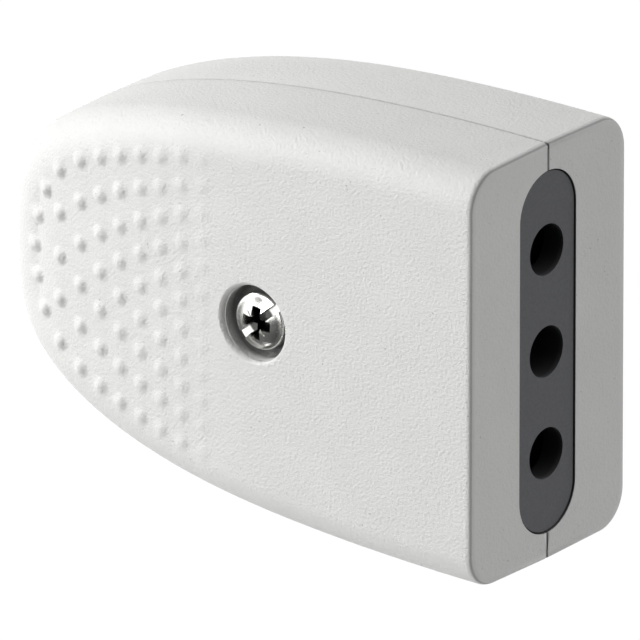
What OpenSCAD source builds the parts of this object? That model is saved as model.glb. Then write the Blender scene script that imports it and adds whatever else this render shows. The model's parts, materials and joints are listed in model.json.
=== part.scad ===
// Rewirable three-pole flying socket: two half shells, an inset socket face with a spring shutter,
// three sleeve contacts with screw terminals, and a cord grip. It lies on its rear shell.

/* [Body] */
// Length from the mouth face to the tip of the tail
body_len = 54.8; // [50:0.2:68]
// Width across the mouth
body_w = 38.9; // [36:0.1:48]
// Depth of the front shell, from the seam to its flat face
front_depth = 10.8; // [10.4:0.1:14]
// Depth of the rear shell, from the seam to its flat face
rear_depth = 10.9; // [10.4:0.1:14]
// Wall thickness of both shells
wall = 1.8; // [1.4:0.1:2.2]
// Radius of the long edges at the mouth
edge_r = 3.2; // [2.6:0.1:4.2]
// How much that radius grows towards the tail
edge_gain = 1.2; // [0:0.1:2]
// Share of each shell's depth that the flat face falls by at the tip
tail_fall = 0.25; // [0:0.01:0.35]
// Small radius round the mouth face
mouth_r = 0.5; // [0.3:0.1:0.8]
// Edge break where the shells meet
seam_break = 0.15; // [0.05:0.05:0.3]

/* [Socket] */
// Centre distance of two neighbouring pins
pin_pitch = 9.5; // [9:0.1:11.6]
// Diameter of the pin that each contact takes
pin_d = 4; // [3.4:0.1:4.4]
// Play of a pin in the holes of the socket face
hole_play = 0.7; // [0.4:0.05:1.2]
// Height of the socket face that shows in the mouth
face_h = 7.6; // [7:0.1:8.6]
// Width of the shells' rim past each end of the socket face
face_rim = 2.7; // [2.2:0.1:4]
// Thickness of the plate that shows
face_t = 1.1; // [0.9:0.1:1.4]
// How far the face lies below the mouth
face_sunk = 0.15; // [0:0.05:0.4]
// Travel of the shutter
shutter_stroke = 4.6; // [4.4:0.1:5]

/* [Contacts] */
// Wall of a contact's sleeve
sleeve_wall = 0.9; // [0.6:0.1:1.1]
// Side of a terminal block
block_w = 6.4; // [5.8:0.1:6.8]
// Length of a terminal block
block_len = 6.6; // [6:0.1:7]
// Diameter of the wire hole in a terminal
wire_d = 3; // [2.4:0.1:3.4]
// Travel of a terminal screw
terminal_travel = 2.2; // [1.6:0.1:2.4]

/* [Fasteners] */
// Thread diameter of every screw
screw_d = 2.9; // [2.4:0.1:3.4]
// Head diameter of the assembly screw
head_d = 5.3; // [4.8:0.1:6]
// Distance of the assembly screw from the mouth
screw_from_mouth = 24; // [22:0.1:30]
// How far the rim of its head lies below the flat face
head_sunk = 0.75; // [0.7:0.05:1.8]
// Nut across its flats
nut_af = 5.5; // [5:0.1:6]
// Thickness of the nut
nut_t = 2.4; // [2:0.1:2.6]

/* [Cord grip] */
// Diameter of the cord entry
cord_hole_d = 7.8; // [6.4:0.1:8.6]
// Distance between the two clamp screws
clamp_pitch = 13.6; // [12:0.1:14.4]
// Width of the clamp bar along the cord
clamp_w = 4.6; // [4:0.1:5]
// Travel of the clamp bar
clamp_travel = 3.4; // [2:0.1:3.4]

/* [Hidden] */

$fn = 48;
eps = 0.01;
// Running clearance of sliding fits, and the looser one of located pieces
slip = 0.05;
gap = 0.15;

// Outline: a superellipse with these exponents along and across the body
pow_len = 2.24;
pow_w = 3.17;
tail_start = 0.41;
tail_pow = 2.3;
draft = 1;
outline_n = 30;
fillet_n = 7;

seam_z = rear_depth;
mouth_x = body_len / 2;

// Socket face and shutter, as distances behind the mouth
face_hole_d = pin_d + hole_play;
face_len = body_w - 2 * face_rim;
end_wall = wall + 0.1;
rebate_d = face_sunk + face_t;
flange_t = 1.05;
flange_back = rebate_d + flange_t;
flange_len = face_len + 1.4;
flange_h = face_h + 4.8;
blade_front = flange_back + gap;
blade_depth = 4.6;
blade_back = blade_front + blade_depth;
blade_w = face_hole_d + 0.5;
// Pushed all the way down, the blade leaves the pin free
blade_top = shutter_stroke - pin_d / 2 - 0.2;
tube_r = face_hole_d / 2 + 0.6;
tube_back = blade_back + 0.6;
bridge_top = -tube_r - 0.1;
bridge_t = 1;
guide_t = 0.8;

// Contacts; the sleeves run from the face's tube to just before the screw's boss
thread_r = screw_d / 2;
boss_r = thread_r + 1.65;
boss_clear = 0.85;
strap_t = 0.8;
sleeve_front = tube_back + 0.4;
sleeve_len = screw_from_mouth - boss_r - boss_clear - strap_t - sleeve_front;
sleeve_back = sleeve_front + sleeve_len;
sleeve_r = pin_d / 2 + sleeve_wall;
rib_t = 1.2;
front_rib = sleeve_front + 0.2;
rear_rib = sleeve_back - 1.6;
ring_front = front_rib + rib_t + 0.3;
ring_len = 2.8;
ring_t = 0.35;
block_back = sleeve_back + block_len;
terminal_from_back = 3;
earth_block_front = screw_from_mouth + 4.8;
earth_block_back = earth_block_front + block_len;
strap_h = 5;
terminal_head_h = 1.7;
tip_len = 1.4;
terminal_head_d = 4.8;

// Assembly screw and its bosses
head_r = head_d / 2;
head_h = 1.4;
dome_h = 0.65;
seat_z = front_depth - head_sunk - head_h;
recess_r = head_r + 0.8;
recess_mouth_r = recess_r + 0.3;
recess_lip = 0.5;
recess_boss_r = recess_r + 1.6;
nut_sunk = 0.25;
strap_y = boss_r + 0.7 + strap_t / 2;
barrier_t = 0.7;

// Cord grip and tail
clamp_at = earth_block_back + 4.6;
clamp_t = 2.4;
clamp_z = 2.6;
clamp_end = 2.3;
clamp_boss_r = thread_r + 0.9;
clamp_boss_top = clamp_z - clamp_travel - 0.2;
clamp_head_d = 5;
clamp_reach = 4.6;
collar_len = 4.8;
collar_r = cord_hole_d / 2 + 1.7;

// Locating pegs
peg_r = 1;
peg_h = 1.5;
peg_post_r = 1.9;
front_peg_at = front_rib + 7;
rear_peg_at = clamp_at + clamp_w / 2 + 3;

// x of a point that lies d behind the mouth
function at(d) = mouth_x - d;

// How far along the falling tail a point lies, from 0 to 1
function tail_share(d) = max(0, (d / body_len - tail_start) / (1 - tail_start));
function half_width(d) = body_w / 2 * pow(max(0, 1 - pow(d / body_len, pow_len)), 1 / pow_w);
function face_depth(depth, d) = depth * (1 - tail_fall * pow(tail_share(d), tail_pow));
function edge_radius(d) = edge_r + edge_gain * pow(tail_share(d), 2);

// Stations from the mouth to the tip: [distance, half width, inset of the mouth radius]
start_angle = asin(pow(mouth_r / body_len, pow_len / 2));
function station(u) =
  let (a = start_angle + (90 - start_angle) * (1 - pow(1 - u, 1.6)))
  [body_len * pow(sin(a), 2 / pow_len), body_w / 2 * pow(max(0, cos(a)), 2 / pow_w), 0];
function mouth_station(a) =
  let (d = mouth_r * (1 - cos(a))) [d, half_width(d), mouth_r * (1 - sin(a))];
stations = concat([for (a = [0 : 30 : 60]) mouth_station(a)],
  [for (i = [0 : outline_n]) station(i / outline_n)]);

// Outward normal of the outline, towards the tail and sideways
function outline_normal(s) =
  let (g = [pow_len * pow(s[0] / body_len, pow_len - 1) / body_len,
    pow_w * pow(2 * s[1] / body_w, pow_w - 1) * 2 / body_w])
  g / norm(g);

// Section of a half shell: [height above the seam, inset] for ring k, with a skin of thickness t removed
function ring_profile(k, depth, d, t, seam) =
  let (h = face_depth(depth, d) - t, r = max(0.4, edge_radius(d) - t), a = 90 * (k - 2) / fillet_n)
  k == 0 ? [0, t + seam]
  : k == 1 ? [seam + eps, t + seam * tan(draft)]
  : let (z = h - r + r * sin(a)) [z, t + z * tan(draft) + r * (1 - cos(a))];

function shell_point(s, side, k, depth, t, seam) =
  let (p = ring_profile(k, depth, s[0], t, seam), n = outline_normal(s), w = p[1] + (t == 0 ? s[2] : 0),
    z = k < 2 ? p[0] : p[0] - (t == 0 ? s[2] : 0) * p[0] / face_depth(depth, s[0]))
  [at(s[0] - w * n[0]), side * max(0, s[1] - w * n[1]), z];

// A closed half body standing on the seam, with a skin of thickness t removed all round
module half_body(depth, t = 0, seam = 0) {
  m = len(stations);
  rings = 2 + fillet_n;
  row = 2 * m - 1;
  points = [for (k = [0 : rings]) each concat(
    [for (i = [0 : m - 1]) shell_point(stations[i], 1, k, depth, t, seam)],
    [for (i = [m - 2 : -1 : 0]) shell_point(stations[i], -1, k, depth, t, seam)])];
  walls = [for (k = [0 : rings - 1]) for (i = [0 : row - 2])
    let (a = k * row + i, b = a + row) each [[a, b + 1, a + 1], [a, b, b + 1]]];
  mouth = [for (k = [0 : rings - 1])
    let (a = k * row, b = a + row) each [[a, b + row - 1, b], [a, a + row - 1, b + row - 1]]];
  face = [for (i = [0 : m - 2])
    let (a = rings * row + i, c = rings * row + row - 1 - i)
    each (i == m - 2 ? [[a, c, a + 1]] : [[a, c - 1, a + 1], [a, c, c - 1]])];
  foot = [[for (i = [0 : row - 1]) i]];
  polyhedron(points, concat(walls, mouth, face, foot), convexity = 4);
}

// Places what is drawn above the seam on the front half, or mirrored on the rear half
module on_front() { translate([0, 0, seam_z]) children(); }
module on_rear() { translate([0, 0, seam_z]) mirror([0, 0, 1]) children(); }

// A box from d0 to d1 behind the mouth, y0 to y1 and z0 to z1 from the seam
module slab(d0, d1, y0, y1, z0, z1) {
  translate([at(d1), y0, z0]) cube([d1 - d0, y1 - y0, z1 - z0]);
}
// A cylinder along the pins' direction, from d0 to d1 behind the mouth
module along(d0, d1, r, y = 0, z = 0) {
  translate([at(d1), y, z]) rotate([0, 90, 0]) cylinder(r = r, h = d1 - d0);
}
// An upright cylinder, d behind the mouth, from z0 to z1
module upright(d, y, z0, z1, r) {
  translate([at(d), y, z0]) cylinder(r = r, h = z1 - z0);
}
// A flat bar with round ends, of length l and height h, from d0 to d1 behind the mouth
module stadium(d0, d1, l, h) {
  slab(d0, d1, -(l - h) / 2, (l - h) / 2, -h / 2, h / 2);
  for (y = [-1, 1]) along(d0, d1, h / 2, y * (l - h) / 2);
}

// The hollow of a half shell, behind the end wall
module hollow(depth) {
  intersection() {
    translate([0, 0, -eps]) half_body(depth, wall);
    slab(end_wall, body_len, -body_w, body_w, -1, depth);
  }
}

// Ribs that carry the contacts and part them, from the seam up to the flat wall
module contact_ribs(depth, foot) {
  for (d = [front_rib, rear_rib]) slab(d, d + rib_t, -body_w / 2, body_w / 2, foot, depth - wall / 2);
  for (s = [-1, 1])
    slab(rear_rib, block_back + 1.4, s * (strap_y + strap_t / 2 + gap + barrier_t / 2) - barrier_t / 2,
      s * (strap_y + strap_t / 2 + gap + barrier_t / 2) + barrier_t / 2, foot, depth - wall / 2);
}

// What the ribs leave open for the contacts and for the mouth's socket face
module contact_room() {
  for (y = [-1, 0, 1] * pin_pitch) along(sleeve_front - 1, sleeve_back + 1, sleeve_r + slip, y);
  slab(sleeve_back - gap, sleeve_back + strap_t + gap, -strap_y - 2, strap_y + 2,
    -strap_h / 2 - gap, strap_h / 2 + gap);
}
module face_room() {
  stadium(-1, end_wall + 1, face_len + 2 * gap, face_h + 2 * gap);
  slab(rebate_d - gap, end_wall + 1, -flange_len / 2 - gap, flange_len / 2 + gap,
    -flange_h / 2 - gap, flange_h / 2 + gap);
}

module peg_places() {
  front_peg_y = max(half_width(front_peg_at) - wall - 1.8, pin_pitch + sleeve_r + peg_post_r + gap);
  for (s = [-1, 1]) {
    translate([at(front_peg_at), s * front_peg_y, 0]) children();
    translate([at(rear_peg_at), s * (half_width(rear_peg_at) - wall - 2.3), 0]) children();
  }
}

module tail_collar() { along(body_len - collar_len, body_len, collar_r); }

module rear_shell() {
  color("whitesmoke") on_rear() difference() {
    union() {
      difference() {
        half_body(rear_depth, 0, seam_break);
        hollow(rear_depth);
      }
      intersection() {
        half_body(rear_depth, wall / 2);
        union() {
          contact_ribs(rear_depth, 0);
          upright(screw_from_mouth, 0, 0, rear_depth, boss_r);
          upright(screw_from_mouth, 0, rear_depth - nut_t - 1.6, rear_depth, nut_af / 2 + 1.7);
          block_posts();
          clamp_bosses();
          cord_saddle();
          tail_collar();
          peg_places() cylinder(r = peg_post_r, h = rear_depth);
        }
      }
      peg_places() translate([0, 0, -peg_h]) cylinder(r = peg_r, h = peg_h + 1);
      for (s = [-1, 1]) upright(spring_at, s * pin_pitch, rear_depth - wall - 0.8, rear_depth - wall / 2,
        spring_r - spring_wire - slip);
    }
    face_room();
    contact_room();
    along(body_len - collar_len - 1, body_len + 1, cord_hole_d / 2);
    upright(screw_from_mouth, 0, -1, rear_depth, thread_r + gap);
    translate([at(screw_from_mouth), 0, rear_depth - nut_t - nut_sunk])
      rotate(30) cylinder(r = (nut_af + 2 * slip) / 2 / cos(30), h = nut_t + 1, $fn = 6);
    for (s = [-1, 1]) upright(clamp_at, s * clamp_pitch / 2, -1, clamp_reach + clamp_travel + 0.3,
      thread_r + slip);
  }
}

// Posts under the three terminal blocks
module block_posts() {
  top = block_w / 2 + slip;
  for (s = [-1, 1]) slab(sleeve_back + 2, block_back - 1, s * pin_pitch - 2, s * pin_pitch + 2, top, rear_depth);
  slab(earth_block_front + 1.4, earth_block_back - 1, -2, 2, top, rear_depth);
}
// Bosses for the clamp screws, below the clamp bar
module clamp_bosses() {
  for (s = [-1, 1]) upright(clamp_at, s * clamp_pitch / 2, -clamp_boss_top, rear_depth, clamp_boss_r);
}
module cord_saddle() {
  difference() {
    slab(clamp_at - clamp_w / 2, clamp_at + clamp_w / 2, -clamp_pitch / 2, clamp_pitch / 2,
      -clamp_boss_top + 0.2, rear_depth);
    along(clamp_at - clamp_w, clamp_at + clamp_w, cord_hole_d / 2 - 0.2);
  }
}

module front_shell() {
  color("whitesmoke") on_front() difference() {
    union() {
      difference() {
        half_body(front_depth, 0, seam_break);
        hollow(front_depth);
      }
      intersection() {
        half_body(front_depth, wall / 2);
        union() {
          contact_ribs(front_depth, 0);
          upright(screw_from_mouth, 0, 0, front_depth, boss_r);
          upright(screw_from_mouth, 0, seat_z - 1.4, front_depth, recess_boss_r);
          tail_collar();
          peg_places() cylinder(r = peg_post_r, h = front_depth);
        }
      }
    }
    face_room();
    contact_room();
    along(body_len - collar_len - 1, body_len + 1, cord_hole_d / 2);
    upright(screw_from_mouth, 0, -1, front_depth, thread_r + gap);
    upright(screw_from_mouth, 0, seat_z, front_depth + 1, recess_r);
    translate([at(screw_from_mouth), 0, front_depth - recess_lip])
      cylinder(r1 = recess_r, r2 = recess_mouth_r, h = recess_lip + eps);
    peg_places() translate([0, 0, -1]) cylinder(r = peg_r + 0.1, h = peg_h + 1.2);
  }
}

module socket_face() {
  color("dimgray") translate([0, 0, seam_z]) difference() {
    union() {
      stadium(face_sunk, rebate_d + eps, face_len, face_h);
      slab(rebate_d, flange_back, -flange_len / 2, flange_len / 2, -flange_h / 2, flange_h / 2);
      along(rebate_d, tube_back, tube_r);
      slab(rebate_d, guide_back, -guide_out, guide_out, flange_h / 2 - 1, flange_h / 2);
      for (s = [-1, 1]) {
        slab(rebate_d, guide_back, s * (guide_out - guide_t / 2) - guide_t / 2,
          s * (guide_out - guide_t / 2) + guide_t / 2, -flange_h / 2, flange_h / 2);
        slab(rebate_d, guide_back, s * (guide_in - guide_t / 2) - guide_t / 2,
          s * (guide_in - guide_t / 2) + guide_t / 2, bridge_top + 0.2, flange_h / 2);
      }
    }
    for (s = [-1, 1]) along(-1, blade_front, face_hole_d / 2, s * pin_pitch);
    along(-1, tube_back + 1, face_hole_d / 2);
  }
}
guide_in = pin_pitch - blade_w / 2 - gap;
guide_back = sleeve_front - gap;
guide_out = pin_pitch + blade_w / 2 + gap + guide_t;

// One slider closes both outer holes; a bridge under the middle tube joins its two ramps
module shutter() {
  foot = bridge_top - bridge_t;
  color("#202022") translate([0, 0, seam_z]) difference() {
    union() {
      slab(blade_front + 0.6, blade_back, -pin_pitch - blade_w / 2, pin_pitch + blade_w / 2, foot, bridge_top);
      for (s = [-1, 1]) translate([mouth_x, s * pin_pitch + blade_w / 2, 0]) rotate([90, 0, 0])
        linear_extrude(blade_w) polygon([[-blade_front, foot], [-blade_front, bridge_top],
          [-blade_back + 0.4, blade_top], [-blade_back, blade_top], [-blade_back, foot]]);
    }
    for (s = [-1, 1]) upright(spring_at, s * pin_pitch, foot - 1, spring_top, spring_r + slip);
  }
}

// Shutter springs
spring_r = 1.1;
spring_wire = 0.26;
spring_turns = 7;
spring_sides = 6;
spring_steps = 14;
spring_at = blade_back - spring_r - 0.35;
spring_top = -1.2;
spring_foot = -rear_depth + wall;
function spring_ring(i) =
  let (a = 360 * i / spring_steps, n = spring_turns * spring_steps, r = spring_r - spring_wire / 2,
    w = spring_wire / 2, low = spring_foot + w + slip, high = spring_top - w - slip, z = low + (high - low) * i / n)
  [for (j = [0 : spring_sides - 1]) let (b = 360 * j / spring_sides)
    [(r + w * cos(b)) * cos(a), (r + w * cos(b)) * sin(a), z + w * sin(b)]];
module spring(y) {
  n = spring_turns * spring_steps;
  points = [for (i = [0 : n]) each spring_ring(i)];
  sides = [for (i = [0 : n - 1]) for (j = [0 : spring_sides - 1])
    let (a = i * spring_sides + j, b = i * spring_sides + (j + 1) % spring_sides)
    each [[a, b + spring_sides, b], [a, a + spring_sides, b + spring_sides]]];
  ends = [[for (j = [0 : spring_sides - 1]) j],
    [for (j = [spring_sides - 1 : -1 : 0]) n * spring_sides + j]];
  color("silver") translate([at(spring_at), y, seam_z]) polyhedron(points, concat(sides, ends));
}

// A sleeve that grips the pin, slit crosswise so that it can spring
module sleeve(y) {
  difference() {
    along(sleeve_front, sleeve_back + eps, sleeve_r, y);
    along(sleeve_front - 1, sleeve_back + eps, pin_d / 2, y);
    translate([at(sleeve_front + 0.6), y, 0]) rotate([0, 90, 0])
      cylinder(r1 = pin_d / 2, r2 = pin_d / 2 + 0.6, h = 0.6 + eps);
    slab(sleeve_front - 1, sleeve_front + 7, y - 0.25, y + 0.25, -sleeve_r - 1, sleeve_r + 1);
    slab(sleeve_front - 1, sleeve_front + 7, y - sleeve_r - 1, y + sleeve_r + 1, -0.25, 0.25);
  }
}
// A terminal block with a wire hole from the tail side and a screw hole from above
module block(d0, y) {
  difference() {
    slab(d0, d0 + block_len, y - block_w / 2, y + block_w / 2, -block_w / 2, block_w / 2);
    along(d0 + 1.2, d0 + block_len + 1, wire_d / 2, y);
    upright(d0 + block_len - terminal_from_back, y, 0, block_w, thread_r + slip);
  }
}
module outer_contact(s) {
  color("goldenrod") translate([0, 0, seam_z]) {
    sleeve(s * pin_pitch);
    block(sleeve_back, s * pin_pitch);
  }
}
// The middle contact's strap passes the assembly screw's boss on one side
module earth_contact() {
  end = earth_block_front + 1.2;
  color("goldenrod") translate([0, 0, seam_z]) {
    sleeve(0);
    along(sleeve_back, sleeve_back + strap_t, sleeve_r);
    slab(sleeve_back, sleeve_back + strap_t, 0, strap_y + strap_t / 2, -strap_h / 2, strap_h / 2);
    slab(sleeve_back, end, strap_y - strap_t / 2, strap_y + strap_t / 2, -strap_h / 2, strap_h / 2);
    slab(end - strap_t, end, block_w / 2 - 0.4, strap_y + strap_t / 2, -strap_h / 2, strap_h / 2);
    block(earth_block_front, 0);
  }
}
// Steel ring that keeps a sleeve tight on its pin
module sleeve_ring(y) {
  color("lightsteelblue") translate([0, 0, seam_z]) difference() {
    along(ring_front, ring_front + ring_len, sleeve_r + slip + ring_t, y);
    along(ring_front - 1, ring_front + ring_len + 1, sleeve_r + slip, y);
    slab(ring_front - 1, ring_front + ring_len + 1, y - 0.4, y + 0.4, 0, sleeve_r + 2);
  }
}

// A slotted cheese-head screw whose head rests at z, reaching down by reach
module slotted_screw(d, y, z, head, head_t, reach) {
  difference() {
    union() {
      upright(d, y, z - reach + tip_len, z + eps, thread_r);
      upright(d, y, z - reach, z - reach + tip_len + eps, thread_r - 0.35);
      upright(d, y, z, z + head_t, head / 2);
    }
    translate([at(d), y, z + head_t]) rotate(35) cube([head + 1, 0.7, 1.6], center = true);
  }
}
module terminal_screw(d, y) {
  rest = block_w / 2 + terminal_travel + 0.2;
  color("silver") translate([0, 0, seam_z])
    slotted_screw(d, y, rest, terminal_head_d, terminal_head_h, rest - wire_d / 2);
}
module clamp_screw(s) {
  color("silver") translate([0, 0, seam_z])
    slotted_screw(clamp_at, s * clamp_pitch / 2, clamp_z + clamp_t, clamp_head_d, 1.7,
      clamp_z + clamp_t + clamp_reach);
}

// Pan head with a slot that stands 42 degrees off the body's length, and a cross halfway off the slot
module assembly_screw() {
  cap_r = (head_r * head_r + dome_h * dome_h) / (2 * dome_h);
  color("silver") translate([at(screw_from_mouth), 0, seam_z]) difference() {
    union() {
      translate([0, 0, nut_sunk + slip - rear_depth]) cylinder(r = thread_r, h = seat_z + rear_depth);
      translate([0, 0, seat_z + 0.03]) cylinder(r = head_r, h = head_h - 0.03);
      intersection() {
        translate([0, 0, seat_z + head_h + dome_h - cap_r]) sphere(r = cap_r, $fn = 96);
        translate([0, 0, seat_z + head_h - eps]) cylinder(r = head_r, h = dome_h + 1);
      }
    }
    rotate(42) translate([0, 0, seat_z + head_h + dome_h]) cube([head_d + 1, 0.8, 1.8], center = true);
    for (a = [87, 177]) rotate(a) translate([0, 0, seat_z + head_h + dome_h])
      cube([3, 1, 3], center = true);
  }
}
module assembly_nut() {
  color("silver") translate([at(screw_from_mouth), 0, nut_sunk]) difference() {
    rotate(30) cylinder(r = nut_af / 2 / cos(30), h = nut_t - slip, $fn = 6);
    translate([0, 0, -1]) cylinder(r = thread_r + slip, h = nut_t + 2);
  }
}

module cord_clamp() {
  half = clamp_pitch / 2 + clamp_end;
  color("gainsboro") translate([0, 0, seam_z]) difference() {
    union() {
      slab(clamp_at - clamp_w / 2, clamp_at + clamp_w / 2, clamp_w / 2 - half, half - clamp_w / 2,
        clamp_z, clamp_z + clamp_t);
      for (s = [-1, 1]) upright(clamp_at, s * (half - clamp_w / 2), clamp_z, clamp_z + clamp_t, clamp_w / 2);
    }
    along(clamp_at - clamp_w, clamp_at + clamp_w, cord_hole_d / 2 - 0.4, 0, 0);
    for (s = [-1, 1]) upright(clamp_at, s * clamp_pitch / 2, 0, 9, thread_r + slip);
  }
}

terminal_at = block_back - terminal_from_back;
rear_shell();
front_shell();
socket_face();
shutter();
spring(-pin_pitch);  // shutter_spring_left
spring(pin_pitch);  // shutter_spring_right
outer_contact(-1);  // contact_left
earth_contact();  // contact_earth
outer_contact(1);  // contact_right
sleeve_ring(-pin_pitch);  // sleeve_ring_left
sleeve_ring(0);  // sleeve_ring_earth
sleeve_ring(pin_pitch);  // sleeve_ring_right
terminal_screw(terminal_at, -pin_pitch);  // terminal_screw_left
terminal_screw(earth_block_back - terminal_from_back, 0);  // terminal_screw_earth
terminal_screw(terminal_at, pin_pitch);  // terminal_screw_right
assembly_screw();
assembly_nut();
cord_clamp();
clamp_screw(-1);  // clamp_screw_left
clamp_screw(1);  // clamp_screw_right
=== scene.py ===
"""Looks of a rewirable three-pole flying socket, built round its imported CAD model."""

import json
import math

import bmesh
import bpy
import numpy as np
from mathutils import Matrix, Vector


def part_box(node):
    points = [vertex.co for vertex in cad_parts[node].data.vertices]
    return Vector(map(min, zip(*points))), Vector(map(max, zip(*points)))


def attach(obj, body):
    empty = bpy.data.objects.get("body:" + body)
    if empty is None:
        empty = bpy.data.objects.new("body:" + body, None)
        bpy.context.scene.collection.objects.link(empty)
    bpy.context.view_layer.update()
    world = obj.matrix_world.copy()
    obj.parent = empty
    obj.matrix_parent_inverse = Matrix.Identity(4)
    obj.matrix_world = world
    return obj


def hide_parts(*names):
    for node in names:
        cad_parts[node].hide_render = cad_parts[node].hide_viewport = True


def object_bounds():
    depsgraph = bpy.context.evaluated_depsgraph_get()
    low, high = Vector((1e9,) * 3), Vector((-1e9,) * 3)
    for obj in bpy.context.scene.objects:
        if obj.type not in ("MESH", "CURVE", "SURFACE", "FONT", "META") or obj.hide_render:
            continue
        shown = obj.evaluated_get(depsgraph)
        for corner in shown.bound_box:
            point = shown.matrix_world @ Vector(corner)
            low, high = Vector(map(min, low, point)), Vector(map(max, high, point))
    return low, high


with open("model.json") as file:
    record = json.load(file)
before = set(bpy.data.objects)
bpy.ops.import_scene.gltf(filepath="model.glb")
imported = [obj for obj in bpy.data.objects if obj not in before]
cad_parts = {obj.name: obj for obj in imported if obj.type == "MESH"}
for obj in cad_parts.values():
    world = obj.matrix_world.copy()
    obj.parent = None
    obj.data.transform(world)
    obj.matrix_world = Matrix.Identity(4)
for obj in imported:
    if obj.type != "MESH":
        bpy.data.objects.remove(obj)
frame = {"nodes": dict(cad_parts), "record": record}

bl_info = {
    "name": "Flying Socket",
    "version": (1, 0, 0),
    "blender": (4, 5, 0),
    "location": "3D View > Sidebar > Socket",
    "description": "Builds the shells, screws, springs and finishes of a flying socket",
    "category": "Object",
}

MM = 0.001
CAD_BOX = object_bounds()
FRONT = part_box("front_shell")
MOUTH_X = CAD_BOX[1].x
SEAM_Z = FRONT[0].z
FRONT_DEPTH = CAD_BOX[1].z - SEAM_Z
REAR_DEPTH = SEAM_Z - CAD_BOX[0].z
SCREW_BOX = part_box("assembly_screw")
SCREW_X = (SCREW_BOX[0].x + SCREW_BOX[1].x) / 2
SHARP = math.radians(32)


# Settings -----------------------------------------------------------------------------------


def length(name, description, default):
    """A length property in metres, its default given in millimetres."""
    return bpy.props.FloatProperty(
        name=name, description=description, default=default * MM, unit="LENGTH", precision=5
    )


def factor(name, description, default):
    return bpy.props.FloatProperty(
        name=name, description=description, default=default, min=0.0, max=4.0, subtype="FACTOR"
    )


def colour(name, description, default):
    return bpy.props.FloatVectorProperty(
        name=name, description=description, default=default, size=3, min=0.0, max=1.0,
        subtype="COLOR",
    )


class SocketShellSettings(bpy.types.PropertyGroup):
    """Outline and edges of the two half shells, and the grip pimples on them."""

    body_length: length("Length", "Mouth face to the tip of the tail", 54.8)
    half_width: length("Half width", "Half the width across the mouth", 19.445)
    length_power: factor("Length power", "Superellipse exponent along the body", 2.24)
    width_power: factor("Width power", "Superellipse exponent across the body", 3.17)
    edge_radius: length("Edge radius", "Radius of the long edges at the mouth", 3.2)
    edge_gain: length("Edge gain", "How much that radius grows to the tip", 1.2)
    tail_start: factor("Tail start", "Share of the length where the flat faces start to fall", 0.41)
    tail_fall: factor("Tail fall", "Share of the depth that the faces fall by", 0.25)
    tail_power: factor("Tail power", "Exponent of that fall", 2.3)
    draft: bpy.props.FloatProperty(
        name="Draft", description="Lean of the side walls", default=math.radians(1), subtype="ANGLE"
    )
    mouth_reach: length("Mouth reach", "How far back the mouth's rounding starts", 0.6)
    mouth_radius: length("Mouth drop", "How far the mouth's rounding falls", 0.24)
    seam_radius: length("Seam radius", "Radius of each shell's edge at the seam", 0.17)
    seam_gap: length("Seam gap", "Half the gap between the shells' edges", 0.04)
    grid: length("Grid", "Mesh spacing where the grip pimples are", 0.22)
    grip_start: length("Grip start", "Distance from the mouth where the fine mesh starts", 27.0)
    grip_end: length("Grip end", "Distance from the mouth where it ends", 51.8)
    tip_width: length("Tip width", "Half width of the flat at the very tip", 2.2)
    skin: length("Skin", "Depth of the finely meshed skin", 0.45)
    face_length: length("Opening length", "Length of the opening for the socket face", 33.8)
    face_height: length("Opening height", "Height of the opening for the socket face", 7.9)
    cord_diameter: length("Cord entry", "Diameter of the cord entry", 7.8)
    recess_radius: length("Recess radius", "Radius of the screw recess at the head", 3.45)
    recess_lip: length("Recess lip", "Width of the recess's rounded lip on the tail side", 0.75)
    face_drift: length("Opening drift", "Gap under the socket face in the rear shell", 0.24)
    pimple_lean: length("Pimple shift", "Shift of all grip pimples across the body", 0.22)
    pimple_radius: length("Pimple radius", "Base radius of a grip pimple", 0.98)
    pimple_height: length("Pimple height", "Greatest height of a grip pimple", 0.52)
    plastic: colour("Plastic", "Colour of both shells", (0.64, 0.64, 0.63))


class SocketMetalSettings(bpy.types.PropertyGroup):
    """Threads, heads, springs and metal colours."""

    thread_pitch: length("Thread pitch", "Rise of a thread in one turn", 0.5)
    thread_depth: length("Thread depth", "Depth of a thread", 0.28)
    slot_width: length("Slot width", "Width of a screw's slot", 0.8)
    slot_turn: bpy.props.FloatProperty(
        name="Slot turn", description="Where the main screw's slot points",
        default=math.radians(42), subtype="ANGLE",
    )
    zinc: colour("Zinc", "Colour of the plated screws", (0.78, 0.78, 0.75))
    brass: colour("Brass", "Colour of the contacts", (0.80, 0.58, 0.27))
    steel: colour("Steel", "Colour of the springs and rings", (0.55, 0.56, 0.58))


class SocketStageSettings(bpy.types.PropertyGroup):
    """Camera, lights and floor."""

    distance: bpy.props.FloatProperty(
        name="Distance", description="Camera to object", default=2.326, unit="LENGTH"
    )
    lens: bpy.props.FloatProperty(
        name="Lens", description="Focal length in millimetres", default=1500.0
    )
    azimuth: bpy.props.FloatProperty(
        name="Azimuth", description="Camera's turn round the width axis, from straight above",
        default=math.radians(38.4), subtype="ANGLE",
    )
    elevation: bpy.props.FloatProperty(
        name="Elevation", description="Camera's rise towards the side wall",
        default=math.radians(21.8), subtype="ANGLE",
    )
    ambient: factor("Ambient", "Strength of the even light", 0.03)
    wash: factor("Wash", "Strength of the broad light from the tail's side", 0.25)
    key: bpy.props.FloatProperty(
        name="Key", description="Power of the main light in watts", default=2.85
    )
    top: bpy.props.FloatProperty(
        name="Top", description="Power of the broad light overhead in watts", default=7.9
    )
    low: bpy.props.FloatProperty(
        name="Low fill", description="Power of the low light in watts", default=3.0
    )
    card: bpy.props.FloatProperty(
        name="Card", description="Power of the card that only shiny pieces mirror, in watts",
        default=3.0,
    )
    floor: colour("Floor", "Colour that the light table under the socket shines with",
                  (1.0, 1.0, 1.0))


# Materials ----------------------------------------------------------------------------------


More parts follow.
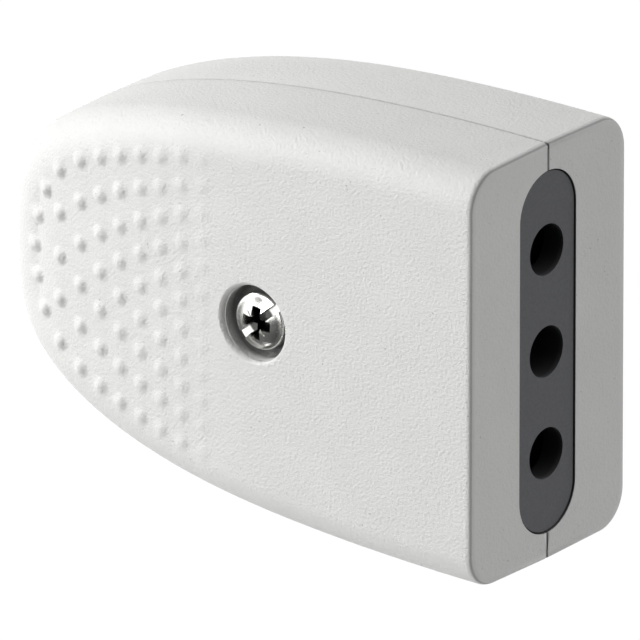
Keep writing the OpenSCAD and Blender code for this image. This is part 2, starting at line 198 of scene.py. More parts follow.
class Value:
    """A number socket; arithmetic on it adds Math nodes."""

    def __init__(self, graph, socket):
        self.graph = graph
        self.socket = socket

    def maths(self, operation, first, second=0.0):
        return self.graph.node(
            "ShaderNodeMath", {"operation": operation}, {0: first, 1: second}
        )

    def __add__(self, other):
        return self.maths("ADD", self, other)

    def __radd__(self, other):
        return self.maths("ADD", other, self)

    def __sub__(self, other):
        return self.maths("SUBTRACT", self, other)

    def __rsub__(self, other):
        return self.maths("SUBTRACT", other, self)

    def __mul__(self, other):
        return self.maths("MULTIPLY", self, other)

    def __rmul__(self, other):
        return self.maths("MULTIPLY", other, self)

    def __abs__(self):
        return self.maths("ABSOLUTE", self)


class Graph:
    """Nodes added by type to one node tree."""

    def __init__(self, tree):
        self.tree = tree

    def node(self, kind, settings=None, sockets=None, output=0):
        made = self.tree.nodes.new(kind)
        for key, value in (settings or {}).items():
            setattr(made, key, value)
        for key, value in (sockets or {}).items():
            if isinstance(value, Value):
                self.tree.links.new(value.socket, made.inputs[key])
            else:
                made.inputs[key].default_value = value
        return Value(self, made.outputs[output])

    def remap(self, value, low, high, out_low, out_high):
        return self.node(
            "ShaderNodeMapRange", {"clamp": True},
            {"Value": value, "From Min": low, "From Max": high, "To Min": out_low,
             "To Max": out_high},
        )

    def blend(self, mask, first, second):
        """Colour that goes from first to second as mask goes from 0 to 1."""
        return self.node(
            "ShaderNodeMix", {"data_type": "RGBA"}, {0: mask, 6: first, 7: second}, output=2
        )


class Finish(Graph):
    """A material being made, with its shader and the object's own coordinates."""

    def __init__(self, name, **constants):
        self.material = bpy.data.materials.new(name)
        self.material.use_nodes = True
        super().__init__(self.material.node_tree)
        self.shader = self.tree.nodes["Principled BSDF"]
        for socket, value in constants.items():
            self.shader.inputs[socket.replace("_", " ")].default_value = value
        self.place = self.node("ShaderNodeTexCoord", output=3)

    def feed(self, socket, value):
        self.tree.links.new(value.socket, self.shader.inputs[socket])

    def axes(self):
        """The x, y and z of the object's own coordinates."""
        return [self.node("ShaderNodeSeparateXYZ", {}, {0: self.place}, output=k)
                for k in range(3)]

    def reach(self, x, y):
        """Distance from an upright axis, from the offsets x and y."""
        flat = self.node("ShaderNodeCombineXYZ", {}, {0: x, 1: y})
        return self.node("ShaderNodeVectorMath", {"operation": "LENGTH"}, {0: flat}, output=1)

    def noise(self, scale, detail=2.0, roughness=0.5, place=None):
        """Noise from 0 to 1, its scale in features per metre."""
        return self.node(
            "ShaderNodeTexNoise", {"noise_dimensions": "3D"},
            {"Vector": place or self.place, "Scale": scale, "Detail": detail,
             "Roughness": roughness},
        )

    def bump(self, height, distance, strength=1.0, under=None):
        sockets = {"Height": height, "Distance": distance, "Strength": strength}
        if under is not None:
            sockets["Normal"] = under
        return self.node("ShaderNodeBump", {}, sockets)


def rgba(rgb, shade=1.0):
    return (rgb[0] * shade, rgb[1] * shade, rgb[2] * shade, 1.0)


def moulded_plastic(name, rgb, grain, depth, roughness, specks=0.0, level=0.5, seam=False):
    """Moulded plastic with a spark-eroded grain, faint mottling and a few fine specks; with seam
    set, it also gets painted shade at its edges, opening and screw recess.
    """
    finish = Finish(name, Specular_IOR_Level=level)
    grit = finish.noise(grain, 3.0, 0.6)
    clouds = finish.noise(190.0, 3.0)
    body = finish.blend(finish.remap(clouds, 0.3, 0.7, 0.0, 1.0), rgba(rgb, 0.965), rgba(rgb))
    body = finish.blend(finish.remap(grit, 0.3, 0.46, 0.22, 0.0), body, rgba(rgb, 0.78))
    if specks:
        rare = finish.remap(finish.noise(600.0, 1.0), 0.56, 0.68, 0.0, 1.0)
        dots = finish.remap(finish.noise(4300.0, 0.0), 0.76, 0.82, 0.0, 1.0)
        body = finish.blend(rare * dots * specks, body, rgba(rgb, 0.2))
    # Painted shade along the shell's seam and mouth, in its opening and in the screw's recess.
    if seam:
        body = shade_edges(finish, body, rgb)
    finish.feed("Base Color", body)
    finish.feed("Roughness", finish.remap(grit, 0.3, 0.7, roughness + 0.08, roughness - 0.06))
    waves = finish.bump(clouds, 0.00005, 0.2)
    if seam:
        back = MOUTH_X - finish.axes()[0]
        grit = grit * finish.remap(back, 0.1 * MM, 0.5 * MM, 0.35, 1.0)
    finish.feed("Normal", finish.bump(grit, depth, 0.7, waves))
    return finish.material


def face_plastic(rgb):
    """The socket face's dark plastic, with painted shade that darkens its gap and holes below the
    flat.
    """
    finish = Finish("face_plastic", Specular_IOR_Level=0.25)
    grit = finish.noise(4200.0, 3.0, 0.6)
    # Painted shade: from 0.3 mm behind the mouth the colour darkens to half, for the shade in the
    # gap and holes.
    deep = finish.remap(MOUTH_X - finish.axes()[0], 0.3 * MM, 0.7 * MM, 0.0, 1.0)
    body = finish.blend(finish.remap(grit, 0.3, 0.7, 0.0, 1.0), rgba(rgb, 0.95), rgba(rgb, 1.05))
    finish.feed("Base Color", finish.blend(deep, body, rgba(rgb, 0.5)))
    finish.feed("Roughness", finish.remap(grit, 0.3, 0.7, 0.68, 0.54))
    finish.feed("Normal", finish.bump(grit, 0.00001, 0.7))
    return finish.material


def shade_edges(finish, body, rgb):
    """Painted shade: darkens the seam, the mouth's edge, the opening's walls and the screw's
    recess, where shade falls.
    """
    x, y, z = finish.axes()
    off_seam, back = abs(z - SEAM_Z), MOUTH_X - x

    # Painted shade in the joint between the shells: a dark line along the seam, strongest at the
    # mouth end.
    at_end = finish.remap(back, 0.1 * MM, 0.6 * MM, 1.0, 0.35)
    line = finish.remap(off_seam, 0.08 * MM, 0.2 * MM, 0.95, 0.0)
    body = finish.blend(line * at_end, body, rgba(rgb, 0.12))

    # Painted shade: the walls of the opening for the socket face, just behind the mouth, go nearly
    # black.
    beside = finish.remap(off_seam, 4.3 * MM, 4.4 * MM, 1.0, 0.0)
    between = finish.remap(abs(y), 17.4 * MM, 17.5 * MM, 1.0, 0.0)
    shallow = finish.remap(back, 2.0 * MM, 2.2 * MM, 1.0, 0.0)
    behind = finish.remap(back, 0.02 * MM, 0.12 * MM, 0.0, 0.85)
    body = finish.blend(beside * between * shallow * behind, body, rgba(rgb, 0.1))

    # Painted shade along the mouth's rounded edge.
    rim = finish.remap(back, 0.0, 0.06 * MM, 0.0, 1.0) * finish.remap(
        back, 0.12 * MM, 0.28 * MM, 0.5, 0.0)
    body = finish.blend(rim, body, rgba(rgb, 0.2))

    # Painted shade on the screw recess's sunk walls, darkening with depth to nearly black.
    around = finish.remap(finish.reach(x - SCREW_X, y), 3.7 * MM, 4.0 * MM, 1.0, 0.0)
    sunk = finish.remap(CAD_BOX[1].z - z, 0.35 * MM, 1.5 * MM, 0.0, 0.85)
    front = finish.remap(z, SEAM_Z, SEAM_Z + MM, 0.0, 1.0)
    return finish.blend(around * sunk * front, body, rgba(rgb, 0.06))


def turned_metal(name, rgb, roughness, grain=2400.0, depth=0.00001, stain=0.86, pit=None):
    """Plated or drawn metal, finely scratched; a pit is where a head's cross gets painted shade,
    nearly black in its depth.
    """
    finish = Finish(name, Metallic=1.0)
    clouds = finish.noise(420.0, 4.0, 0.6)
    stretched = finish.node(
        "ShaderNodeVectorMath", {"operation": "MULTIPLY"}, {0: finish.place, 1: (0.12, 1.0, 1.0)}
    )
    scratches = finish.noise(grain, 2.0, 0.6, stretched)
    body = finish.blend(finish.remap(clouds, 0.35, 0.7, 0.0, 1.0), rgba(rgb), rgba(rgb, stain))
    # Painted shade: inside the cross and slot, from 0.3 mm below the crown, the colour falls to
    # near black.
    if pit:
        x, y, z = finish.axes()
        within = finish.remap(finish.reach(x - pit.x, y - pit.y), 1.35 * MM, 1.6 * MM, 1.0, 0.0)
        cut = finish.remap(pit.z - z, 0.3 * MM, 0.5 * MM, 0.0, 0.93)
        head = finish.remap(pit.z - z, 1.9 * MM, 2.0 * MM, 1.0, 0.0)
        body = finish.blend(within * cut * head, body, rgba(rgb, 0.03))
    finish.feed("Base Color", body)
    finish.feed("Roughness", finish.remap(
        clouds + scratches * 0.5, 0.5, 1.0, roughness - 0.06, roughness + 0.1))
    finish.feed("Normal", finish.bump(scratches, depth, 0.5))
    return finish.material


def wear(obj, material):
    """Gives a piece one material."""
    obj.data.materials.clear()
    obj.data.materials.append(material)


# Mesh tools ---------------------------------------------------------------------------------


def new_object(name, mesh):
    obj = bpy.data.objects.new(name, mesh)
    bpy.context.scene.collection.objects.link(obj)
    return obj


def mesh_from(name, verts, faces):
    """A mesh in metres with doubles merged and its faces turned outward."""
    mesh = bpy.data.meshes.new(name)
    mesh.from_pydata([tuple(v) for v in verts], [], [tuple(f) for f in faces])
    tidy(mesh)
    return mesh


def tidy(mesh, gap=0.0000008):
    bm = bmesh.new()
    bm.from_mesh(mesh)
    bmesh.ops.remove_doubles(bm, verts=bm.verts, dist=gap)
    bmesh.ops.dissolve_degenerate(bm, edges=bm.edges, dist=gap)
    bmesh.ops.recalc_face_normals(bm, faces=bm.faces)
    bm.to_mesh(mesh)
    bm.free()


def smooth(mesh, angle=SHARP):
    mesh.polygons.foreach_set("use_smooth", [True] * len(mesh.polygons))
    mesh.set_sharp_from_angle(angle=angle)


def boolean(mesh, other, operation):
    """The result of one solid boolean as a new mesh."""
    base, tool = new_object("base", mesh), new_object("tool", other)
    modifier = base.modifiers.new("cut", "BOOLEAN")
    modifier.operation, modifier.object, modifier.solver = operation, tool, "MANIFOLD"
    made = bpy.data.meshes.new_from_object(
        base.evaluated_get(bpy.context.evaluated_depsgraph_get())
    )
    bpy.data.objects.remove(base)
    bpy.data.objects.remove(tool)
    if not made.polygons:
        raise RuntimeError(f"{operation} of {mesh.name} and {other.name} left nothing")
    made.name = mesh.name
    return made


def revolve(name, profile, sides, spot=(0, 0, 0)):
    """Turns (radius, height) points about Z; the ends close on the axis."""
    verts, faces = [], []
    for radius, height in profile:
        for i in range(sides):
            a = 2 * math.pi * i / sides
            verts.append(
                (spot[0] + radius * math.cos(a), spot[1] + radius * math.sin(a), spot[2] + height)
            )
    for k in range(len(profile) - 1):
        for i in range(sides):
            j = (i + 1) % sides
            faces.append((k * sides + i, k * sides + j, (k + 1) * sides + j, (k + 1) * sides + i))
    last = (len(profile) - 1) * sides
    faces.append(tuple(reversed(range(sides))))
    faces.append(tuple(range(last, last + sides)))
    return mesh_from(name, verts, faces)


def prism(name, outline, axis, low, high):
    """Extrudes a flat outline along X or Z from low to high."""
    count = len(outline)
    lift = (lambda p, t: (t, p[0], p[1])) if axis == "X" else (lambda p, t: (p[0], p[1], t))
    verts = [lift(p, t) for t in (low, high) for p in outline]
    faces = [tuple(range(count)), tuple(range(count, 2 * count))]
    for i in range(count):
        j = (i + 1) % count
        faces.append((i, j, count + j, count + i))
    return mesh_from(name, verts, faces)


def stadium(length_, height, steps=40):
    """Outline of a bar with round ends, centred."""
    r, half = height / 2, (length_ - height) / 2
    points = []
    for side, start in ((1, -90), (-1, 90)):
        for i in range(steps + 1):
            a = math.radians(start + 180 * i / steps)
            points.append((side * half + r * math.cos(a), r * math.sin(a)))
    return points


# Shells -------------------------------------------------------------------------------------


class HalfBody:
    """The outside of one half shell as a fine mesh, following the CAD's outline."""

    def __init__(self, s, depth, fillet=16, across=150, coarse=1):
        self.s, self.depth = s, depth
        self.fillet, self.across = fillet, across
        self.rows = []
        for i in range(9):
            a = math.pi / 2 * i / 9
            d = s.mouth_reach * (1 - math.cos(a))
            self.rows.append((d, self.half_width(d), s.mouth_radius * (1 - math.sin(a))))
        fine = int((s.grip_end - s.grip_start) / s.grid / coarse)
        places = list(np.linspace(s.mouth_reach, s.grip_start, 42 // coarse, endpoint=False))
        places += list(np.linspace(s.grip_start, s.grip_end, fine, endpoint=False))
        first = math.asin((s.grip_end / s.body_length) ** (s.length_power / 2))
        for u in np.linspace(0, 1, 36 // coarse, endpoint=False):
            a = first + (math.pi / 2 - first) * (1 - (1 - u) ** 1.6)
            places.append(s.body_length * math.sin(a) ** (2 / s.length_power))
        for d in places:
            if self.half_width(d) > s.tip_width:
                self.rows.append((float(d), self.half_width(d), 0.0))

    def half_width(self, d):
        s = self.s
        return s.half_width * max(0.0, 1 - (d / s.body_length) ** s.length_power) ** (
            1 / s.width_power
        )

    def tail(self, d):
        s = self.s
        return max(0.0, (d / s.body_length - s.tail_start) / (1 - s.tail_start))

    def face(self, d):
        return self.depth * (1 - self.s.tail_fall * self.tail(d) ** self.s.tail_power)

    def normal(self, d, y):
        s = self.s
        along = s.length_power * (d / s.body_length) ** (s.length_power - 1) / s.body_length
        side = s.width_power * (y / s.half_width) ** (s.width_power - 1) / s.half_width
        size = math.hypot(along, side)
        return along / size, side / size

    def profile(self, d, inset, seam):
        """(height, inset) from the seam up and over the long edge."""
        s = self.s
        top = self.face(d) - inset
        r = max(0.0004, s.edge_radius + s.edge_gain * self.tail(d) ** 2 - inset)
        lean = math.tan(s.draft)
        points = []
        if seam > 0:
            for i in range(5):
                a = math.pi / 2 * i / 4
                points.append((s.seam_gap + seam * (1 - math.cos(a)),
                               inset + seam * (1 - math.sin(a))))
        else:
            points.append((0.0, inset))
        points.append(((top - r) * 0.5, inset + (top - r) * 0.5 * lean))
        for i in range(self.fillet + 1):
            a = math.pi / 2 * i / self.fillet
            z = top - r + r * math.sin(a)
            points.append((z, inset + z * lean + r * (1 - math.cos(a))))
        return points

    def loop(self, row, inset, seam, sink):
        """One cross-section, from one seam edge over the top to the other."""
        d, y, mouth = row
        nx, ny = self.normal(d, y)
        whole = self.face(d)
        side = []
        if sink:
            side.append((-sink, inset))
        side += self.profile(d, inset, seam)
        right = []
        for z, w in side:
            w += mouth
            z_here = z - mouth * max(0.0, z) / whole
            right.append((d - w * nx, max(0.0, y - w * ny), z_here))
        x, edge, top = right[-1]
        middle = [
            (x, edge * (1 - 2 * i / self.across), top) for i in range(1, self.across)
        ]
        left = [(px, -py, pz) for px, py, pz in reversed(right)]
        return right + middle + left

    def solid(self, name, up, inset=0.0, seam=0.0, sink=0.0, grip=False):
        """The closed half body, above the seam for up = 1 and below for up = -1."""
        faces = []
        loops = [self.loop(row, inset, seam, sink) for row in self.rows]
        count = len(loops[0])
        cap, sides = loops[-1], (count - self.across + 1) // 2
        edge, width = sides - 1 - self.fillet, self.across + 1
        levels = [
            (x, y * (1 - 2 * i / self.across), z)
            for x, y, z in cap[sides - 1:edge - 1:-1] for i in range(width)
        ]
        points = np.array([point for loop in loops for point in loop] + levels)
        if grip:
            points[:, 2] += self.grip_rise(points)
        verts = [(MOUTH_X - x, y, SEAM_Z + up * z) for x, y, z in points]
        for i in range(len(loops) - 1):
            for k in range(count):
                j = (k + 1) % count
                faces.append(
                    (i * count + k, i * count + j, (i + 1) * count + j, (i + 1) * count + k)
                )
        faces.append(tuple(range(count)))
        start = len(loops) * count
        for k in range(self.fillet):
            for i in range(self.across):
                a = start + k * width + i
                faces.append((a, a + 1, a + width + 1, a + width))
        last = start - count
        for k in range(edge - 1):
            faces.append((last + k, last + k + 1, last + count - 2 - k, last + count - 1 - k))
        low = start + self.fillet * width
        faces.append((last + edge - 1, *range(low, low + width), last + count - edge))
        return mesh_from(name, verts, faces)

    def grip_rise(self, points):
        """How much the grip pimples raise each (distance, y, height) point."""
        rise = np.zeros(len(points))
        over = points[:, 2] > 0.45 * self.depth
        for d, y, height, radius in self.pimples():
            away = ((points[:, 0] - d) ** 2 + (points[:, 1] - y) ** 2) / radius ** 2
            rise += np.where(over & (away < 1), height * (1 - np.minimum(away, 1)) ** 2, 0.0)
        return rise

    def pimples(self):
        """(distance, y, height, radius) of the pimples: fewer in each column to the tail."""
        s = self.s
        columns = [(50.5, 5), (47.0, 5), (44.35, 6), (41.85, 7), (39.45, 8), (37.0, 9),
                   (34.6, 10), (32.2, 11), (29.8, 12)]
        margins = [5.4, 5.1, 4.55, 4.4, 4.25, 4.15, 4.15, 3.95, 4.0]
        for (d_mm, count), margin in zip(columns, margins):
            d = d_mm * MM
            reach = self.half_width(d) - margin * MM
            fall = self.depth - self.face(d)
            growth = (d - s.grip_start) / (s.grip_end - s.grip_start)
            height = min(s.pimple_height * (0.12 + 0.88 * growth), fall - 0.01 * MM)
            for i in range(count):
                y = reach * (2 * i / (count - 1) - 1) + s.pimple_lean
                bow = 1.5 * MM * (y / reach) ** 2 if d_mm > 48 else 0.0
                yield d - bow, y, height, s.pimple_radius


def recess_cutter(s):
    """The screw's recess: a straight bore with a lip, soft on the tail side and tight opposite."""
    top = CAD_BOX[1].z
    bore = s.recess_radius + 0.02 * MM
    floor, above, flare = top - 3.2 * MM, top + 0.6 * MM, 0.3 * MM
    sweep, deepest = math.radians(78), 0.8 * MM
    sides, steps = 96, 12
    verts, faces = [], []
    for k in range(steps + 3):
        t = sweep * min(max(0, k - 1), steps) / steps
        for i in range(sides):
            a = 2 * math.pi * i / sides
            soft = 0.2 + 0.8 * (0.5 - 0.5 * math.cos(a)) ** 1.3
            lip, fall = s.recess_lip * soft, deepest * soft
            r = bore + lip * (1 - math.cos(t))
            z = top - fall * (1 - math.sin(t)) + fall * 0.021
            if k == 0:
                z = floor
            elif k == steps + 2:
                r, z = r + flare, above
            verts.append((SCREW_X + r * math.cos(a), r * math.sin(a), z))
    for k in range(steps + 2):
        for i in range(sides):
            j = (i + 1) % sides
            faces.append((k * sides + i, k * sides + j, (k + 1) * sides + j, (k + 1) * sides + i))
    faces.append(tuple(reversed(range(sides))))
    faces.append(tuple(range((steps + 2) * sides, (steps + 3) * sides)))
    return mesh_from("recess", verts, faces)


def shell_mesh(s, node, depth, up):
    """A shell: fine skin with pimples outside, and the CAD's own walls and ribs inside."""
    body = HalfBody(s, depth)
    guard = HalfBody(s, depth, 6, 4, 3)
    skin = body.solid(node, up, 0.0, s.seam_radius, grip=True)
    skin = boolean(skin, guard.solid("guard", up, s.skin, 0.0, 3 * MM), "DIFFERENCE")
    slack = 0.03 * MM
    opening = [
        (y, SEAM_Z + z)
        for y, z in stadium(s.face_length + 2 * slack, s.face_height + 2 * slack)
    ]
    if up < 0:
        opening = [(y, z - s.face_drift) for y, z in opening]
    skin = boolean(skin, prism("opening", opening, "X", MOUTH_X - 2 * MM, MOUTH_X + MM),
                   "DIFFERENCE")
    bore = s.cord_diameter / 2 + slack
    ring = [(bore * math.cos(a), SEAM_Z + bore * math.sin(a))
            for a in (2 * math.pi * i / 72 for i in range(72))]
    tail = MOUTH_X - s.body_length
    skin = boolean(skin, prism("cord_entry", ring, "X", tail - MM, tail + 3 * MM), "DIFFERENCE")
    if up > 0:
        skin = boolean(skin, recess_cutter(s), "DIFFERENCE")
    else:
        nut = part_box("assembly_nut")
        corner = ((nut[1].x - nut[0].x) / 2 + 0.08 * MM) / math.cos(math.radians(30))
        hexagon = [(SCREW_X + corner * math.cos(a), corner * math.sin(a))
                   for a in (math.radians(30 + 60 * i) for i in range(6))]
        skin = boolean(skin, prism("nut_pocket", hexagon, "Z", -MM, MM), "DIFFERENCE")
    inside = frame["nodes"][node].data.copy()
    tidy(inside, 0.000002)
    core = guard.solid("core", up, s.skin - 0.04 * MM, 0.0, 3 * MM)
    inside = boolean(inside, core, "INTERSECT")
    shell = boolean(skin, inside, "UNION")
    tidy(shell, 0.000002)
    smooth(shell)
    return shell


# Screws and springs ---------------------------------------------------------------------------


def threaded_rod(name, radius, low, high, pitch, depth, spot, sides=40):
    """A closed rod with a screw thread, its point slightly tapered."""
    rows = max(4, int((high - low) / pitch * 8))
    verts, faces = [], []
    for k in range(rows + 1):
        z = low + (high - low) * k / rows
        for i in range(sides):
            a = 2 * math.pi * i / sides
            turn = (z / pitch - i / sides) % 1.0
            cut = depth * (1 - abs(2 * turn - 1)) if 0 < k < rows else depth
            point = min(1.0, 0.75 + 0.25 * (z - low) / (1.2 * pitch))
            r = (radius - cut) * point
            verts.append((spot[0] + r * math.cos(a), spot[1] + r * math.sin(a), z))
    for k in range(rows):
        for i in range(sides):
            j = (i + 1) % sides
            faces.append((k * sides + i, k * sides + j, (k + 1) * sides + j, (k + 1) * sides + i))
    faces.append(tuple(reversed(range(sides))))
    faces.append(tuple(range(rows * sides, (rows + 1) * sides)))
    return mesh_from(name, verts, faces)


def wedge(name, half_length, half_width, depth, taper, turn, spot):
    """A slot cutter: a bar that narrows downward, turned about Z."""
    verts = []
    for z, k in ((-depth, taper), (0.0, 1.0), (1.0 * MM, 1.0)):
        for x, y in ((-1, -1), (1, -1), (1, 1), (-1, 1)):
            verts.append((x * half_length * k, y * half_width * (0.5 + 0.5 * k), z))
    faces = [(0, 1, 2, 3), (8, 9, 10, 11)]
    for low in (0, 4):
        for i in range(4):
            j = (i + 1) % 4
            faces.append((low + i, low + j, low + 4 + j, low + 4 + i))
    mesh = mesh_from(name, verts, faces)
    mesh.transform(Matrix.Translation(spot) @ Matrix.Rotation(turn, 4, "Z"))
    return mesh


def pan_head(name, radius, low, rim, dome, spot):
    """A pan head: straight rim, rounded shoulder and low dome."""
    chamfer, crown, straight, steps = 0.08 * MM, 0.92, 0.8, 9
    profile = [(radius - chamfer, low), (radius, low + chamfer), (radius, low + rim * straight)]
    for i in range(1, steps + 1):
        a = math.pi / 2 * i / steps
        profile.append((radius * (crown + (1 - crown) * math.cos(a)),
                        low + rim * (straight + (1 - straight) * math.sin(a))))
    for i in range(1, steps + 1):
        t = i / steps
        profile.append((radius * crown * (1 - t) + 0.01 * MM,
                        low + rim + dome * (1 - (1 - t) ** 2)))
    return revolve(name, profile, 80, spot)


def on_rod(m, head, low, seat, centre):
    """The head joined to a threaded rod that reaches down to low."""
    rod = threaded_rod("rod", 1.45 * MM, low, seat + 0.2 * MM, m.thread_pitch, m.thread_depth,
                       centre)
    made = boolean(head, rod, "UNION")
    smooth(made)
    return made


def main_screw(m):
    """The assembly screw: threaded rod, pan head, slot, cross and small marks between."""
    low, high = SCREW_BOX
    centre = (SCREW_X, 0.0, 0.0)
    crown = (SCREW_X, 0.0, high.z)
    rim, dome = 1.4 * MM, 0.65 * MM
    seat = high.z - rim - dome
    head = pan_head("assembly_screw", (high.x - low.x) / 2, seat, rim, dome, centre)
    slot, eighth = m.slot_turn, math.pi / 4
    cuts = [wedge("slot", 4 * MM, m.slot_width / 2, 1.0 * MM, 1.0, slot, crown)]
    cuts += [wedge("wing", 1.65 * MM, 0.5 * MM, 1.75 * MM, 0.45, turn, crown)
             for turn in (slot + eighth, slot - eighth)]
    cuts += [wedge("tick", 1.5 * MM, 0.07 * MM, 0.22 * MM, 0.9, turn, crown)
             for turn in (slot, slot + 2 * eighth)]
    for cut in cuts:
        head = boolean(head, cut, "DIFFERENCE")
    return on_rod(m, head, low.z, seat, centre)


def slotted_screw(m, node):
    """A small cheese-head screw in its CAD node's place."""
    low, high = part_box(node)
    centre = ((low.x + high.x) / 2, (low.y + high.y) / 2, 0.0)
    crown = (centre[0], centre[1], high.z)
    rim, dome = 1.5 * MM, 0.2 * MM
    seat = high.z - rim - dome
    head = pan_head(node, (high.x - low.x) / 2, seat, rim, dome, centre)
    slot = wedge("slot", 4 * MM, m.slot_width * 0.45, 0.8 * MM, 1.0, math.radians(35), crown)
    return on_rod(m, boolean(head, slot, "DIFFERENCE"), low.z, seat, centre)


# Operators ------------------------------------------------------------------------------------


def stand_for(node, mesh, material):
    """Puts a detailed mesh in the place of its CAD node."""
    obj = new_object(node + "_detail", mesh)
    wear(obj, material)
    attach(obj, node_body(node))
    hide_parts(node)
    return obj


def node_body(node):
    for body, nodes in frame["record"]["behaviour"]["bodies"].items():
        if node in nodes:
            return body
    raise RuntimeError(f"no body holds {node}")


class SOCKET_OT_shells(bpy.types.Operator):
    """Builds both half shells with their grip pimples"""

    bl_idname = "socket.shells"
    bl_label = "Shells"

    def execute(self, context):
        s = context.scene.socket_shells
        # The last argument turns on the painted edge shade of the shell plastic.
        plastic = moulded_plastic("shell_plastic", s.plastic, 3600.0, 0.00014, 0.5, 0.5, 0.4, True)
        for node, depth, up in (("front_shell", FRONT_DEPTH, 1), ("rear_shell", REAR_DEPTH, -1)):
            stand_for(node, shell_mesh(s, node, depth, up), plastic)
        return {"FINISHED"}


class SOCKET_OT_inner_plastic(bpy.types.Operator):
    """Finishes the socket face, the shutter and the cord clamp"""

    bl_idname = "socket.inner_plastic"
    bl_label = "Inner plastic"

    def execute(self, context):
        finishes = {
            "socket_face": face_plastic((0.107, 0.109, 0.117)),
            "shutter": moulded_plastic("shutter_plastic", (0.006, 0.006, 0.006), 4200.0, 0.00001,
                                       0.5, 0.0, 0.2),
            "cord_clamp": moulded_plastic("clamp_plastic", (0.55, 0.55, 0.53), 3000.0, 0.00003,
                                          0.4),
        }
        for node, material in finishes.items():
            wear(frame["nodes"][node], material)
        return {"FINISHED"}


class SOCKET_OT_contacts(bpy.types.Operator):
    """Finishes the brass contacts and their steel rings"""

    bl_idname = "socket.contacts"
    bl_label = "Contacts"

    def execute(self, context):
        m = context.scene.socket_metal
        brass = turned_metal("contact_brass", m.brass, 0.3)
        steel = turned_metal("ring_steel", m.steel, 0.34)
        for side in ("left", "earth", "right"):
            wear(frame["nodes"]["contact_" + side], brass)
            wear(frame["nodes"]["sleeve_ring_" + side], steel)
        return {"FINISHED"}


class SOCKET_OT_screws(bpy.types.Operator):
    """Builds the screws and finishes the nut"""

    bl_idname = "socket.screws"
    bl_label = "Screws"

    def execute(self, context):
        m = context.scene.socket_metal
        zinc = turned_metal("zinc_plate", m.zinc, 0.2)
        # The main screw's zinc, with painted shade in its cross.
        cross_shaded_zinc = turned_metal("zinc_head", m.zinc, 0.2, pit=Vector((SCREW_X, 0.0, SCREW_BOX[1].z)))
        stand_for("assembly_screw", main_screw(m), cross_shaded_zinc)
        small = ["terminal_screw_" + side for side in ("left", "earth", "right")]
        small += ["clamp_screw_" + side for side in ("left", "right")]
        for node in small:
            stand_for(node, slotted_screw(m, node), zinc)
        wear(frame["nodes"]["assembly_nut"], zinc)
        return {"FINISHED"}


class SOCKET_OT_springs(bpy.types.Operator):
    """Finishes the shutter springs"""

    bl_idname = "socket.springs"
    bl_label = "Springs"

    def execute(self, context):
        steel = turned_metal("spring_steel", context.scene.socket_metal.steel, 0.3)
        for side in ("left", "right"):
            wear(frame["nodes"]["shutter_spring_" + side], steel)
        return {"FINISHED"}


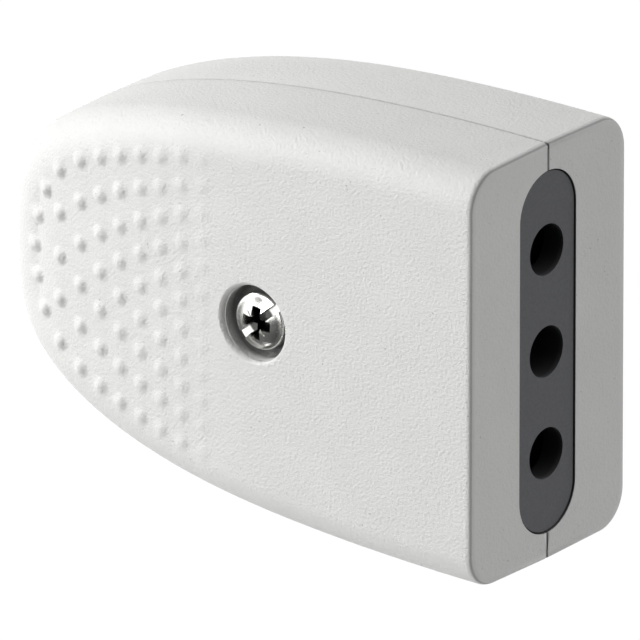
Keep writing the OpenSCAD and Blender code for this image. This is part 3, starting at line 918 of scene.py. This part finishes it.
class SOCKET_OT_stage(bpy.types.Operator):
    """Sets the camera, the lights and the floor"""

    bl_idname = "socket.stage"
    bl_label = "Stage"

    def execute(self, context):
        g = context.scene.socket_stage
        a, e = g.azimuth, g.elevation
        right = Vector((math.cos(a), 0, -math.sin(a)))
        toward = Vector((math.sin(a) * math.cos(e), math.sin(e), math.cos(a) * math.cos(e)))
        up = toward.cross(right)
        centre = Vector((MOUTH_X - 27 * MM, 0, SEAM_Z))
        shift_right, shift_down = 1.43 * MM, 3.46 * MM
        aim = centre + right * shift_right - up * shift_down
        camera = bpy.data.objects.new("camera", bpy.data.cameras.new("camera"))
        context.scene.collection.objects.link(camera)
        camera.data.lens, camera.data.sensor_width = g.lens, 36.0
        camera.data.clip_start, camera.data.clip_end = 0.01, 10.0
        turn = Matrix((right, up, toward)).transposed().to_4x4()
        camera.matrix_world = Matrix.Translation(aim + toward * g.distance) @ turn
        context.scene.camera = camera

        world = bpy.data.worlds.new("world")
        world.use_nodes = True
        sky = Graph(world.node_tree)
        where = sky.node("ShaderNodeTexCoord")
        side = sky.node("ShaderNodeVectorMath", {"operation": "DOT_PRODUCT"},
                        {0: where, 1: (-0.8, 0.35, 0.48)}, output=1)
        glow = sky.remap(side, 0.0, 0.9, g.ambient, g.wash)
        back = world.node_tree.nodes["Background"]
        back.inputs["Color"].default_value = (1, 1, 1, 1)
        world.node_tree.links.new(glow.socket, back.inputs["Strength"])
        context.scene.world = world
        context.scene.view_settings.view_transform = "Standard"

        for name, way, reach, size, power in (
            ("key", (-0.78, 0.4, 0.44), 0.6, 0.16, g.key),
            ("top", (-0.25, 0.1, 1.0), 1.1, 0.6, g.top),
            ("low_fill", (-0.2, -0.95, 0.25), 1.1, 0.5, g.low),
            ("card", (-0.72, -0.18, 0.67), 1.0, 0.9, g.card),
        ):
            light = bpy.data.objects.new(name, bpy.data.lights.new(name, "AREA"))
            light.data.shape, light.data.size, light.data.energy = "DISK", size, power
            light.location = centre + Vector(way) * reach
            light.rotation_mode = "QUATERNION"
            light.rotation_quaternion = (centre - light.location).to_track_quat("-Z", "Y")
            context.scene.collection.objects.link(light)
            light.visible_diffuse = name != "card"

        finish = Finish("floor", Roughness=0.9, Specular_IOR_Level=0.0)
        tint = finish.remap(finish.noise(6.0, 2.0), 0.3, 0.7, 0.0, 1.0)
        finish.feed("Base Color", finish.blend(tint, rgba(g.floor, 0.02), rgba(g.floor, 0.018)))
        finish.shader.inputs["Emission Color"].default_value = rgba(g.floor)
        finish.shader.inputs["Emission Strength"].default_value = 1.0
        half = 2.0
        floor = new_object("floor", mesh_from(
            "floor", [(-half, -half, 0), (half, -half, 0), (half, half, 0), (-half, half, 0)],
            [(0, 1, 2, 3)]))
        floor.location.z = -0.02 * MM
        wear(floor, finish.material)
        return {"FINISHED"}


class SOCKET_PT_panel(bpy.types.Panel):
    bl_idname = "SOCKET_PT_panel"
    bl_label = "Flying Socket"
    bl_space_type = "VIEW_3D"
    bl_region_type = "UI"
    bl_category = "Socket"

    def draw(self, context):
        for operator in OPERATORS:
            self.layout.operator(operator.bl_idname)
        for name in SETTINGS:
            group = getattr(context.scene, name)
            column = self.layout.column()
            for key in group.bl_rna.properties.keys():
                if key not in ("rna_type", "name"):
                    column.prop(group, key)


SETTINGS = {
    "socket_shells": SocketShellSettings,
    "socket_metal": SocketMetalSettings,
    "socket_stage": SocketStageSettings,
}
OPERATORS = [
    SOCKET_OT_stage, SOCKET_OT_shells, SOCKET_OT_inner_plastic, SOCKET_OT_contacts,
    SOCKET_OT_screws, SOCKET_OT_springs,
]


def register():
    for cls in [*SETTINGS.values(), *OPERATORS, SOCKET_PT_panel]:
        bpy.utils.register_class(cls)
    for name, cls in SETTINGS.items():
        setattr(bpy.types.Scene, name, bpy.props.PointerProperty(type=cls))


def unregister():
    for name in SETTINGS:
        delattr(bpy.types.Scene, name)
    for cls in reversed([*SETTINGS.values(), *OPERATORS, SOCKET_PT_panel]):
        bpy.utils.unregister_class(cls)


def main():
    register()
    for operator in OPERATORS:
        group, name = operator.bl_idname.split(".")
        getattr(getattr(bpy.ops, group), name)()


if __name__ == "__main__":
    main()
